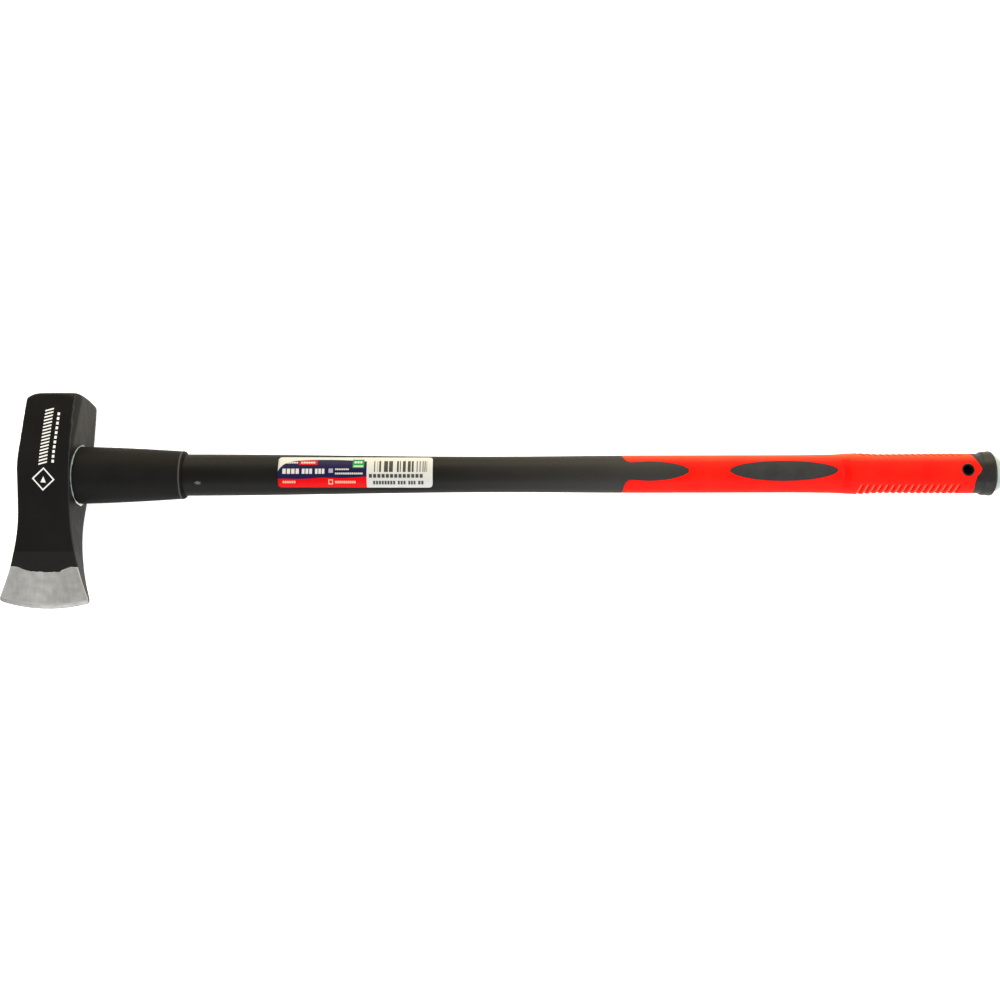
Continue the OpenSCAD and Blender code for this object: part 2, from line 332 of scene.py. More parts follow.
class Paint:
    """One procedural material. Its coordinates are millimetres from the handle's axis."""

    def __init__(self, name, **values):
        self.material = bpy.data.materials.new(name)
        self.material.use_nodes = True
        tree = self.material.node_tree
        self.nodes = tree.nodes
        self.links = tree.links
        self.shader = next(n for n in self.nodes if n.type == "BSDF_PRINCIPLED")
        for key, value in values.items():
            self.shader.inputs[key.replace("_", " ").title().replace("Ior", "IOR")].default_value = value
        place = self.node("ShaderNodeTexCoord").outputs["Object"]
        shift = self.node("ShaderNodeVectorMath", operation="MULTIPLY_ADD")
        shift.inputs[1].default_value = (1 / MM,) * 3
        shift.inputs[2].default_value = (0, -AXIS.y, -AXIS.z)
        self.links.new(place, shift.inputs[0])
        self.place = shift.outputs[0]
        split = self.node("ShaderNodeSeparateXYZ")
        self.links.new(self.place, split.inputs[0])
        self.x, self.y, self.z = [Field(self, out) for out in split.outputs]

    def node(self, kind, **settings):
        made = self.nodes.new(kind)
        for key, value in settings.items():
            setattr(made, key, value)
        return made

    def feed(self, socket, value):
        if isinstance(value, Field):
            self.links.new(value.socket, socket)
        else:
            socket.default_value = value

    def math(self, operation, a, b=0.0):
        made = self.node("ShaderNodeMath", operation=operation)
        self.feed(made.inputs[0], a)
        self.feed(made.inputs[1], b)
        return Field(self, made.outputs[0])

    def attribute(self, name):
        made = self.node("ShaderNodeAttribute", attribute_name=name)
        return Field(self, made.outputs["Fac"])

    def stretched(self, stretch):
        if stretch == (1, 1, 1):
            return self.place
        made = self.node("ShaderNodeVectorMath", operation="MULTIPLY")
        made.inputs[1].default_value = stretch
        self.links.new(self.place, made.inputs[0])
        return made.outputs[0]

    def noise(self, size, detail=3.0, stretch=(1, 1, 1)):
        """Soft noise from about 0.25 to 0.75, with features of that size in millimetres."""
        made = self.node("ShaderNodeTexNoise")
        made.inputs["Scale"].default_value = 1 / size
        made.inputs["Detail"].default_value = detail
        self.links.new(self.stretched(stretch), made.inputs["Vector"])
        return Field(self, made.outputs["Fac"])

    def cells(self, size, stretch=(1, 1, 1)):
        """Distance to the nearest of scattered points that lie about that far apart."""
        made = self.node("ShaderNodeTexVoronoi")
        made.inputs["Scale"].default_value = 1 / size
        self.links.new(self.stretched(stretch), made.inputs["Vector"])
        return Field(self, made.outputs["Distance"])

    def chance(self, value):
        """A random number from 0 to 1 for each different value."""
        made = self.node("ShaderNodeTexWhiteNoise", noise_dimensions="1D")
        self.links.new(value.socket, made.inputs["W"])
        return Field(self, made.outputs["Value"])

    def mix(self, mask, dark, light):
        """dark where the mask is 0 and light where it is 1: colours, or a mix made before."""
        made = self.node("ShaderNodeMix", data_type="RGBA")
        self.links.new(mask.socket, made.inputs["Factor"])
        for socket, colour in ((made.inputs[6], dark), (made.inputs[7], light)):
            if isinstance(colour, tuple):
                socket.default_value = (*colour, 1)
            else:
                self.links.new(colour, socket)
        return made.outputs[2]

    def box(self, u, v, centre, size, soft=0.08):
        """1 inside a rectangle of the u, v plane."""
        across = size[0] / 2 - (u - centre[0]).one("ABSOLUTE")
        up = size[1] / 2 - (v - centre[1]).one("ABSOLUTE")
        return across.one("MINIMUM", up).above(0, soft)

    def blocks(self, u, v, left, middle, count, pitch, height, gap=0.25):
        """1 inside a row of equal blocks. gap is the space between two as a share of the pitch."""
        part = ((u - left) * (1 / pitch)).one("FRACT")
        solid = 1 - part.above(1 - gap, 0.04)
        length = pitch * (count - gap)
        return solid * self.box(u, v, (left + length / 2, middle), (length, height))

    def tent(self, value, centre, half):
        """1 at the centre, falling to 0 at half on either side."""
        return (1 - (value - centre).one("ABSOLUTE") * (1 / half)).one("MAXIMUM", 0.0)

    def finish(self, colour=None, roughness=None, metallic=None, height=None):
        """Connects the fields that vary. height is in millimetres."""
        if colour is not None:
            self.links.new(colour, self.shader.inputs["Base Color"])
        if roughness is not None:
            self.links.new(roughness.socket, self.shader.inputs["Roughness"])
        if metallic is not None:
            self.links.new(metallic.socket, self.shader.inputs["Metallic"])
        if height is not None:
            made = self.node("ShaderNodeBump")
            made.inputs["Distance"].default_value = MM
            self.links.new(height.socket, made.inputs["Height"])
            self.links.new(made.outputs[0], self.shader.inputs["Normal"])
        return self.material


# ---------------------------------------------------------------------------
# Head
# ---------------------------------------------------------------------------

FLARE_FROM = 36
FLARE_REACH = 80.3
FLARE_POWER = 1.87
TOE_ROUNDING = 1.2
TOE_FLARE = CROWN_X - TOE_X + TOE_ROUNDING
HEEL_FLARE = 16.8
EDGE_RADIUS = 144
EDGE_SHIFT = 4.3
EDGE_X = (TOE_X + UNDER_X + HEEL_FLARE) / 2 + EDGE_SHIFT
EDGE_Y = BIT_Y + EDGE_RADIUS
# The grind's half thickness at distances in from the cutting edge.
MICRO_BEVEL = 3.6
GRIND_DEPTHS = (0, MICRO_BEVEL, 36, 110)
GRIND_HALVES = (0.4, 2.5, 9.2, 36.6)
# The wedge's half thickness, from the handle's axis to its thin end.
WEDGE_LENGTH = 98
WEDGE_THIN = 7.7
WEDGE_THICK = 30.2
WEDGE_POWER = 1.25
# The poll: each bevel's size is along the handle and through the thickness, and its run is how far
# it reaches down the cheek.
POLL_THINNING = 1
POLL_LEAN = 4.3
POLL_CORNER = 15
UNDER_BEVEL = (3.5, 11)
CROWN_BEVEL = (5, 17)
HANDLE_BEVEL_RUN = 43
CROWN_BEVEL_RUN = 70
# Half sizes of the eye's oval at the crown and at the handle side.
EYE_OUT = (19.5, 15.6)
EYE_IN = (17.5, 14.0)
EYE_ROLL = 1.2
RIDGE_RADIUS = 1.3
POLL_RIDGE_RADIUS = 2
POLL_RIDGE_FADE = 12
# The striking face bulges past the frame's flat one, and falls back towards the cheeks.
CROWN_OUT = 2.2
CROWN_FALL = 3.0
CROWN_FADE = 20
# The paint stops this far in from the cutting edge.
PAINT_END = 32


def flare(y):
    """How far the sides have spread towards the bit, from 0 above the flare to about 1."""
    return np.power(np.clip(-y - FLARE_FROM, 0, None) / FLARE_REACH, FLARE_POWER)


def crown_side(y):
    return CROWN_X - TOE_FLARE * flare(y)


def handle_side(y):
    lean = POLL_LEAN * np.clip(y / POLL_Y, 0, 1)
    return UNDER_X + HEEL_FLARE * flare(y) + lean


def edge_meets(side):
    """The y at which a side of the head meets the arc of the cutting edge."""
    lo, hi = BIT_Y - 5, BIT_Y + 40
    for _ in range(40):
        mid = (lo + hi) / 2
        if math.hypot(side(mid) - EDGE_X, mid - EDGE_Y) > EDGE_RADIUS:
            lo = mid
        else:
            hi = mid
    return lo


def even_outline(corners, step, rounding):
    """Points at even steps along a closed outline, with its corners rounded off."""
    ring = np.array(corners + corners[:1])
    along = np.concatenate([[0], np.cumsum(np.linalg.norm(np.diff(ring, axis=0), axis=1))])
    count = int(along[-1] / step)
    places = np.linspace(0, along[-1], count, endpoint=False)
    even = np.stack([np.interp(places, along, ring[:, i]) for i in (0, 1)], axis=1)
    for _ in range(rounding):
        even = (np.roll(even, 1, axis=0) + 2 * even + np.roll(even, -1, axis=0)) / 4
    return even


def head_outline():
    toe_y = edge_meets(crown_side)
    heel_y = edge_meets(handle_side)
    corner = [(CROWN_X + POLL_CORNER * (1 + math.cos(a)), POLL_Y - POLL_CORNER * (1 - math.sin(a)))
              for a in np.linspace(math.pi / 2, math.pi, 8)]
    crown = [(crown_side(y), y) for y in np.linspace(POLL_Y - POLL_CORNER - 1, toe_y, 60)]
    edge = [(x, EDGE_Y - math.sqrt(EDGE_RADIUS ** 2 - (x - EDGE_X) ** 2))
            for x in np.linspace(crown_side(toe_y), handle_side(heel_y), 60)[1:-1]]
    handle = [(handle_side(y), y) for y in np.linspace(heel_y, POLL_Y, 60)]
    corners = [tuple(map(float, p)) for p in corner + crown + edge + handle]
    return even_outline(corners, step=1.0, rounding=14)


def soft_min(a, b, blend):
    """The lower of two heights, with the crease between them rounded."""
    share = np.clip(0.5 + (b - a) / (2 * blend), 0, 1)
    return b + (a - b) * share - blend * share * (1 - share)


def bevel_plane(poll_x, run_out_x, run_out, bevel, outward):
    """Height of the plane that cuts a long corner of the poll and runs out on the cheek.
    bevel is its size on the striking face, along the handle and through the thickness."""
    along, through = bevel
    poll_half = CHEEK_HALF - POLL_THINNING
    a = np.array([poll_x - outward * along, POLL_Y, poll_half])
    b = np.array([poll_x, POLL_Y, poll_half - through])
    c = np.array([run_out_x, POLL_Y - run_out, CHEEK_HALF])
    n = np.cross(b - a, c - a)

    def height(x, y):
        return a[2] - ((x - a[0]) * n[0] + (y - a[1]) * n[1]) / n[2]

    return height


handle_bevel = bevel_plane(UNDER_X + POLL_LEAN, UNDER_X, HANDLE_BEVEL_RUN, UNDER_BEVEL, 1)
crown_bevel = bevel_plane(CROWN_X, CROWN_X, CROWN_BEVEL_RUN, CROWN_BEVEL, -1)


def cheek_height(x, y):
    """Half thickness of the head: the cheek land, the wedge, the grind and the poll's bevels."""
    v = np.clip(-y, 0, None)
    rise = np.power(np.clip(WEDGE_LENGTH - v, 0, None) / WEDGE_LENGTH, WEDGE_POWER)
    wedge = WEDGE_THIN + (WEDGE_THICK - WEDGE_THIN) * rise
    land_halves = [WEDGE_THICK, CHEEK_HALF, CHEEK_HALF, CHEEK_HALF - POLL_THINNING]
    land = np.interp(y, [0, 14, 50, 70], land_halves)
    body = np.where(y < 0, wedge, land)
    inset = EDGE_RADIUS - np.hypot(x - EDGE_X, y - EDGE_Y)
    grind = np.interp(inset, GRIND_DEPTHS, GRIND_HALVES)
    body = soft_min(body, grind, 0.5)
    beveled = soft_min(soft_min(body, handle_bevel(x, y), 0.8), crown_bevel(x, y), 0.8)
    return np.where(y > 0, beveled, body)


def crown_striking_face(bm):
    """Bulges the poll's end through the head's thickness."""
    for vert in bm.verts:
        near_poll = float(ease((vert.co.y - POLL_Y + CROWN_FADE) / CROWN_FADE))
        vert.co.y += near_poll * (CROWN_OUT - CROWN_FALL * (vert.co.z / CHEEK_HALF) ** 2)


def head_mesh():
    """The head as rings: in from the outline over both cheeks, and a wall between them."""
    outline = head_outline()
    x, y = outline.T
    bar = 2.2
    spine_y = bar * np.round(np.clip(y, -104, 46) / bar)
    spine = np.stack([np.full_like(x, (CROWN_X + UNDER_X) / 2), spine_y], axis=1)
    reach = np.linalg.norm(spine - outline, axis=1)
    inward = (spine - outline) / reach[:, None]
    at_poll = ease((y - POLL_Y + POLL_RIDGE_FADE) / (POLL_RIDGE_FADE - 2))
    ridge = RIDGE_RADIUS + (POLL_RIDGE_RADIUS - RIDGE_RADIUS) * at_poll
    ridge = np.minimum(ridge, 0.7 * cheek_height(x, y))
    turns = np.linspace(0, math.pi / 2, 6)
    depths = [ridge * (1 - math.cos(t)) for t in turns]
    depths += [np.full_like(reach, d) for d in (2.2, 3.2, 4.2, 5.3, 6.5, 8.0, 10.0)]
    depths += [10 + (reach - 10) * s for s in (0.12, 0.28, 0.46, 0.64, 0.82, 1)]
    rim_distance = inside([tuple(p) for p in outline])
    top = []
    for depth in depths:
        place = outline + inward * depth[:, None]
        fall = np.minimum(np.clip(rim_distance(place), 0, None) / ridge, 1)
        drop = ridge * (1 - np.sqrt(1 - (1 - fall) ** 2))
        top.append((place, cheek_height(place[:, 0], place[:, 1]) - drop))
    rows = [np.column_stack([p, h]) for p, h in reversed(top)]
    rim = rows[-1][:, 2]
    rows += [np.column_stack([outline, rim * s]) for s in np.linspace(1, -1, 17)[1:-1]]
    rows += [np.column_stack([p, -h]) for p, h in top]
    bm = loft(rows)
    bmesh.ops.remove_doubles(bm, verts=bm.verts, dist=0.001)
    crown_striking_face(bm)
    return bm


def oval_depth(half_y, half_z, wall_x):
    """Distance in from an oval opening in the head's wall at wall_x, positive in the metal."""
    wall_reach = 2.5
    elsewhere = 50.0

    def field(points):
        u = np.hypot(points[:, 1] / half_y, points[:, 2] / half_z)
        distance = (u - 1) * (half_y + half_z) / 2
        return np.where(np.abs(points[:, 0] - wall_x) < wall_reach, distance, elsewhere)

    return field


def maul_head():
    """The forging, with its eye open at both ends."""
    bm = head_mesh()
    openings = ((CROWN_X, EYE_OUT, 1), (UNDER_X, EYE_IN, -1))
    for wall_x, (half_y, half_z), inward in openings:
        depth = oval_depth(half_y, half_z, wall_x)
        trim(bm, depth, EYE_ROLL)
        drop = rim_drop(depth(points_of(bm)), EYE_ROLL)
        for vert, fallen in zip(bm.verts, drop):
            vert.co.x -= inward * fallen
    rims = [e for e in bm.edges if e.is_boundary]
    bmesh.ops.bridge_loops(bm, edges=rims)
    head = piece("maul_head", bm, head_finish(), "head_paint", "maul_head")
    up = np.array([v.normal.z for v in head.data.vertices])
    store(head, "ground", np.clip((np.abs(up) - 0.42) / 0.3, 0, 1))
    return head


PRINT_X = -416.0


def print_marks(paint):
    """Generic white print on the cheek: a diamond with a wedge in it, a band of slanted bars and
    a row of dashes."""
    lean = math.radians(3.4)
    along_x = paint.x - PRINT_X
    u = paint.y * math.cos(lean) + along_x * math.sin(lean)
    v = along_x * math.cos(lean) - paint.y * math.sin(lean)
    aside = (v - 1.2).one("ABSOLUTE")
    size = (u + 9.5).one("ABSOLUTE") + aside
    diamond = size.above(8.6, 0.2) * (1 - size.above(10.2, 0.2))
    from_foot = u + 12.5
    wedge = (5.4 - aside * 2.3 - from_foot).above(0, 0.3) * from_foot.above(0, 0.15)
    wedge = wedge * (1 - size.above(7.4, 0.2))
    slant = u - v * 0.35
    bars = paint.blocks(slant, v, 3.8, 0.0, 17, 3.1, 7.4, 0.56)
    dashes = paint.blocks(u, v, 5.3, 8.8, 11, 4.4, 2.2, 0.4)
    marks = diamond.one("MAXIMUM", wedge).one("MAXIMUM", bars).one("MAXIMUM", dashes)
    return marks * paint.z.above(20, 0.5)


def head_finish():
    """Black paint over a forging, with print, and bare steel where the bit is ground."""
    paint = Paint("black_paint_and_ground_steel", specular_ior_level=0.07)
    ground = paint.attribute("ground")
    square = (paint.x - EDGE_X).one("POWER", 2.0) + (paint.y - EDGE_Y).one("POWER", 2.0)
    reach = square.one("SQRT")
    ragged = (paint.noise(9, 2, (1, 1, 0)) - 0.5) * 2.6 + (paint.noise(2.4, 2) - 0.5) * 1.1
    crests = paint.tent(paint.x, TOE_X + 17, 8) * 1.6 + paint.tent(paint.x, UNDER_X + 1, 11) * 3.4
    bare = (reach + ragged + crests).above(EDGE_RADIUS - PAINT_END, 0.25) * ground
    marks = print_marks(paint)

    forged = paint.noise(14, 2)
    peel = paint.noise(0.9, 2)
    dust = paint.noise(30, 4)
    black = paint.mix(dust, (0.005, 0.005, 0.0051), (0.0088, 0.0087, 0.0084))
    # Painted highlight: the rounded ridges between the cheeks and the side walls are a lighter grey.
    black = paint.mix(paint.tent(ground, 0.5, 0.5) * 0.6, black, (0.05, 0.046, 0.044))
    # Painted sheen: from 73 mm below the axis towards the bit the paint is a little lighter, standing in
    # for the light that the wedge's steeper facet catches.
    painted_facet_sheen = (paint.y * -1.0).above(73, 0.7)
    black = paint.mix(painted_facet_sheen * 0.4, black, (0.018, 0.018, 0.0178))
    black = paint.mix(marks * (0.75 + paint.noise(0.6, 2) * 0.4), black, (0.72, 0.74, 0.74))
    streaks = paint.noise(1.1, 4, (1, 0.07, 0.07))
    blotches = paint.noise(6, 5)
    # Painted highlight: the bare steel is lighter in a band round the middle of the bit.
    painted_shine = paint.tent(paint.x, EDGE_X - 8, 20) * paint.noise(1.0, 4) * 0.4
    tone = streaks * 0.3 + blotches * 0.45 + 0.1 + painted_shine
    steel = paint.mix(tone, (0.24, 0.24, 0.235), (0.66, 0.66, 0.645))
    # Painted shade: the micro-bevel along the cutting edge is a darker steel.
    lip = reach.above(EDGE_RADIUS - MICRO_BEVEL, 0.5)
    steel = paint.mix(lip * (0.3 + blotches * 0.6), steel, (0.14, 0.14, 0.135))
    colour = paint.mix(bare, black, steel)
    painted_roughness = 0.42 + (dust - 0.5) * 0.16
    steel_roughness = 0.36 + blotches * 0.2
    roughness = painted_roughness * (1 - bare) + steel_roughness * bare
    painted_height = forged * 0.5 + peel * 0.035 + 0.08
    steel_height = streaks * 0.02 + paint.noise(0.5, 2) * 0.02
    height = painted_height * (1 - bare) + steel_height * bare + marks * 0.02
    return paint.finish(colour, roughness, bare * 0.85, height)


def eye_epoxy():
    """Resin that fills the eye round the core, a little below the crown face, with a meniscus."""
    half_y, half_z = EYE_OUT
    rows = []
    for share in np.linspace(0, 1, 12):
        meniscus = 0.9 * (1 - math.exp(-share * 6)) * (1 - math.exp(-(1 - share) * 6))
        x = CROWN_X + 1.0 + meniscus
        out_y, out_z = [ROD_RADIUS + (half - ROD_RADIUS) * share for half in (half_y, half_z)]
        rows.append(oval(x, out_y, out_z, 96))
    in_y, in_z = EYE_IN
    rows.append(oval(UNDER_X - 0.5, in_y, in_z, 96))
    rows.append(oval(UNDER_X - 0.5, ROD_RADIUS, ROD_RADIUS, 96))
    paint = Paint("cured_resin", specular_ior_level=0.5)
    cloud = paint.noise(6, 4)
    colour = paint.mix(cloud, (0.055, 0.04, 0.02), (0.12, 0.09, 0.045))
    material = paint.finish(colour, 0.22 + cloud * 0.25, None, paint.noise(2.5, 3) * 0.25)
    return piece("eye_epoxy", loft(rows, closed=True), material, "eye_resin", "eye_epoxy")


def fibreglass_core():
    """The pultruded rod, with the sawn end that shows in the eye."""
    chamfer = 0.7
    ends = [(core_lo.x, ROD_RADIUS - 7), (core_lo.x, ROD_RADIUS - 3.5),
            (core_lo.x, ROD_RADIUS - chamfer), (core_lo.x + chamfer, ROD_RADIUS),
            (core_hi.x - chamfer, ROD_RADIUS), (core_hi.x, ROD_RADIUS - chamfer)]
    paint = Paint("pultruded_glass", specular_ior_level=0.4)
    fibres = paint.noise(0.7, 2, (0.03, 1, 1))
    colour = paint.mix(fibres.above(0.5, 0.18), (0.34, 0.29, 0.16), (0.68, 0.61, 0.4))
    material = paint.finish(colour, 0.45 + fibres * 0.25, None, fibres * 0.12)
    rows = [oval(x, r, r, 72) for x, r in ends]
    bm = loft(rows, capped=True)
    return piece("fibreglass_core", bm, material, "core_fibreglass", "fibreglass_core")


# ---------------------------------------------------------------------------
# Handle
# ---------------------------------------------------------------------------

HANDLE_RATIO = 0.85
WAIST_X = -5
COLLAR_FOOT = (26.5, 25.0)


def jacket_half(x):
    """The jacket's half height: least at the waist, and more towards both ends."""
    return 16.7 + 2.65 * ease((WAIST_X - x) / 300) + 0.8 * ease((x - WAIST_X) / 140)


def grip_half(x):
    """The half height where the grip is: the jacket's, with a swell in front of the grooves."""
    swell = 0.6 * ease((x - 260) / 60) + 0.9 * bump((x - 323) / 24) + 0.5 * ease((x - 340) / 90)
    return jacket_half(x) + swell


def handle_oval(x, half):
    return oval(x, half, half * HANDLE_RATIO)


def oval_outline(centre_x, length, height, from_angle=0.0):
    """The upper half of an inlay's outline: an ellipse whose tips are drawn out a little."""
    angles = np.radians(np.linspace(from_angle, 88, 24))
    return [(centre_x + math.sin(a) * length / 2, math.cos(a) ** 1.12 * height / 2) for a in angles]


TONGUE_LENGTH = 60
TONGUE_WIDEST = 22
TONGUE_HEIGHT = 18.4
MOUTH = (7, 9)


def tongue_outline():
    """The jacket's outline where the grip takes over: the mouth's fillets, a waist and a long tip."""
    waist = TONGUE_HEIGHT / 2 - 0.9
    angles = np.linspace(math.pi, 1.5 * math.pi, 9)
    mouth = [(GRIP_X + MOUTH[0] * (1 + math.cos(a)), waist + MOUTH[1] * (1 + math.sin(a))) for a in angles]
    tip = oval_outline(GRIP_X + TONGUE_WIDEST, 2 * (TONGUE_LENGTH - TONGUE_WIDEST), TONGUE_HEIGHT)
    return mirrored([(-900, 60), (GRIP_X, 60)] + mouth + tip)


def pad_outline():
    half = oval_outline(PAD_X, PAD_LENGTH, PAD_HEIGHT, -88)
    return mirrored(half)


def chevron_outline():
    """What the butt cap covers: everything past the grip's shallow point."""
    edge = [(-6, 60), (-6, 18), (-2.7, 8.5), (0.8, 1), (-1, -2.6), (-4, -6), (-5.6, -12), (-4.6, -19),
            (-4.6, -60)]
    return [(GRIP_END_X + x, y) for x, y in edge + [(900, -60), (900, 60)]]


in_jacket = inside(tongue_outline())
in_pad = inside(pad_outline())
in_cap = inside(chevron_outline())


BUSH_RADIUS = HOLE_RADIUS + 1.3
SLEEVE_ROLL = 0.5
SLEEVE_WALL = 2.2


def in_bush(points):
    return BUSH_RADIUS - np.hypot(points[:, 0] - HOLE_X, points[:, 1])


def in_sleeve(points):
    """How far in from the sleeve's rims: it is open for the jacket, the pads, the cap and the bush."""
    openings = [in_jacket(points), in_pad(points), in_cap(points), in_bush(points)]
    return -np.max(openings, axis=0)


GROOVE_X = 325
GROOVE_PITCH = 5.9
GROOVE_COUNT = 16
GROOVE_DEPTH = 1.3
POLL_SIDE_SLANT = 1.1
BIT_SIDE_SLANT = 0.4
SLANT_FROM_Y = 18
POLL_SIDE_GROOVES = 13
BIT_SIDE_GROOVES = 12
CROSS_GROOVE_X = 311.7
CROSS_GROOVE_DEPTH = 0.8
CROSS_GROOVE_SHADE = 0.45


def edge_grooves(points):
    """The slanted anti-slip grooves: how deep each point lies, and how much of a groove's lip it is.
    Both are from 0 to 1. A groove has a steep wall on the head side and rises slowly to the butt."""
    x, y = points[:, 0], points[:, 1]
    slant = np.where(y > 0, POLL_SIDE_SLANT, BIT_SIDE_SLANT)
    slanted = x - slant * (SLANT_FROM_Y - np.abs(y)) - GROOVE_X
    nearest = np.clip(np.round(slanted / GROOVE_PITCH), 0, GROOVE_COUNT - 1)
    along = slanted - nearest * GROOVE_PITCH
    edge = np.where(y > 0, ease((y - POLL_SIDE_GROOVES) / 2), ease((-y - BIT_SIDE_GROOVES) / 2))
    dip = ease((along + 1.3) / 1.0) * ease((2.4 - along) / 2.6) * edge
    return dip, bump((along + 2.0) / 1.4) * edge


def cross_groove(points):
    """From 0 to 1, how deep each point lies in the shallow groove across the front."""
    x, y, z = points.T
    across = ease((y + 15) / 1.2) * ease((10.6 - y) / 1.2) * (z > 0)
    return ease((4.2 - np.abs(x - CROSS_GROOVE_X)) / 1.4) * across


def grip_relief(points):
    dip, lip = edge_grooves(points)
    return 0.2 * lip - GROOVE_DEPTH * dip - CROSS_GROOVE_DEPTH * cross_groove(points)


def handle_jacket():
    xs = stations((UNDER_X, LIP_X - 4, 12), (LIP_X - 4, GRIP_X - 4, 4), (GRIP_X - 4, GRIP_X + 62, 1.2))
    rows = [handle_oval(x, grip_half(x)) for x in xs]
    bm = shell(rows, HANDLE_RATIO, in_jacket, 0.4, 4)
    paint = Paint("black_jacket", specular_ior_level=0.08)
    mottle = paint.noise(25, 4, (0.4, 1, 1))
    grain = paint.noise(0.5, 2)
    scuff = paint.tent(paint.x, -280, 4.5) * paint.tent(paint.y, -10.4, 2.2)
    scuff = (scuff + paint.noise(1.4) * 0.7).above(0.75, 0.15)
    dusty = paint.x.above(20, 110)
    clean = paint.mix(mottle, (0.0042, 0.0042, 0.0041), (0.0085, 0.0084, 0.008))
    handled = paint.mix(mottle, (0.02, 0.0198, 0.0192), (0.034, 0.0335, 0.032))
    colour = paint.mix(dusty, clean, handled)
    colour = paint.mix(scuff * 0.3, colour, (0.3, 0.3, 0.29))
    material = paint.finish(colour, 0.4 + mottle * 0.16, None, grain * 0.05 + paint.noise(8, 2) * 0.12)
    return piece("handle_jacket", bm, material, "jacket_plastic", "handle_jacket")


def overstrike_collar():
    """Rubber collar: a slow taper, a fine bead round the lip and a rounded shoulder to the jacket."""
    length = LIP_X - UNDER_X
    bead_at, shoulder_from, shoulder_deep = length - 3.1, length - 1.9, 2.3
    stops = [0, 0.45 * length, length - 4]
    taper_y = np.polyfit(stops, [COLLAR_FOOT[0], 25.1, 22.3], 2)
    taper_z = np.polyfit(stops, [COLLAR_FOOT[1], 22.3, 18.2], 2)
    profile = [(0, -0.8), (0.25, -0.3)]
    profile += [(d, 0) for d in stations((0.9, bead_at - 1.9, 3.5))]
    profile += [(d, 0.3 * float(bump((d - bead_at) / 1.3)))
                for d in stations((bead_at - 1.4, bead_at + 1, 0.3))]
    for turn in np.linspace(0.15, math.pi / 2, 8):
        profile.append((shoulder_from + (length - shoulder_from) * math.sin(turn),
                        -shoulder_deep * (1 - math.cos(turn))))
    rows = []
    for d, out in profile:
        rows.append(oval(UNDER_X + d, np.polyval(taper_y, d) + out, np.polyval(taper_z, d) + out))
    for x, gap in ((LIP_X - 0.3, 0.15), (LIP_X - 3, -0.2), (UNDER_X + 0.5, -0.2), (UNDER_X, -0.2)):
        rows.append(oval(x, jacket_half(x) + gap, jacket_half(x) * HANDLE_RATIO + gap))
    paint = Paint("black_rubber", specular_ior_level=0.06)
    cloud = paint.noise(18, 4)
    colour = paint.mix(cloud, (0.0045, 0.0045, 0.0044), (0.0088, 0.0086, 0.0082))
    # Painted highlight: a lighter line along the bead round the lip.
    colour = paint.mix(paint.tent(paint.x, UNDER_X + bead_at, 1.1), colour, (0.06, 0.06, 0.057))
    # Painted shade: the shoulder that rounds down into the jacket is near black.
    colour = paint.mix(paint.x.above(UNDER_X + shoulder_from, 0.4), colour, (0.002, 0.002, 0.002))
    height = paint.noise(0.45, 2) * 0.06 + paint.noise(12, 2) * 0.25
    material = paint.finish(colour, 0.5 + cloud * 0.2, None, height)
    bm = loft(rows, closed=True)
    return piece("overstrike_collar", bm, material, "collar_rubber", "overstrike_collar")


def adhesive_bead():
    """A hand-laid line of sealant between the collar and the head, thicker in places."""
    half_y, half_z = COLLAR_FOOT
    rows = []
    for a in np.linspace(0, 2 * math.pi, 160, endpoint=False):
        wobble = 0.12 * math.sin(5 * a + 1) + 0.1 * math.sin(11 * a) + 0.07 * math.sin(23 * a + 2)
        blobs = 1.1 * math.exp(-((a - 3.28) / 0.08) ** 2)
        blobs += 0.45 * math.exp(-((a - 0.16) / 0.07) ** 2)
        gap = 1 - 0.8 * float(bump((a - 2.72) / 0.3))
        size = (0.62 + wobble) * gap + blobs
        across = np.array([0, half_z * math.cos(a), half_y * math.sin(a)])
        across /= np.linalg.norm(across)
        wall_x = handle_side(half_y * math.cos(a))
        centre = np.array([wall_x, half_y * math.cos(a), half_z * math.sin(a)])
        centre += across * 0.4 + np.array([0.35 + 0.9 * blobs, 0, 0])
        turns = np.linspace(0, 2 * math.pi, 10, endpoint=False)
        round_it = [across * math.sin(turn) + (math.cos(turn), 0, 0) for turn in turns]
        rows.append([tuple(centre + size * way) for way in round_it])
    paint = Paint("pale_sealant", specular_ior_level=0.5)
    stain = paint.noise(4, 4)
    grimy = paint.mix(stain, (0.06, 0.09, 0.1), (0.24, 0.31, 0.33))
    fresh = paint.mix(stain, (0.5, 0.46, 0.38), (0.8, 0.78, 0.7))
    colour = paint.mix((paint.y * -1.0).above(24, 2), grimy, fresh)
    material = paint.finish(colour, 0.3 + stain * 0.2, None, paint.noise(1, 2) * 0.15)
    return piece("adhesive_bead", loft(rows, closed=True), material, "adhesive", "adhesive_bead")


# ---------------------------------------------------------------------------
# Grip and butt
# ---------------------------------------------------------------------------


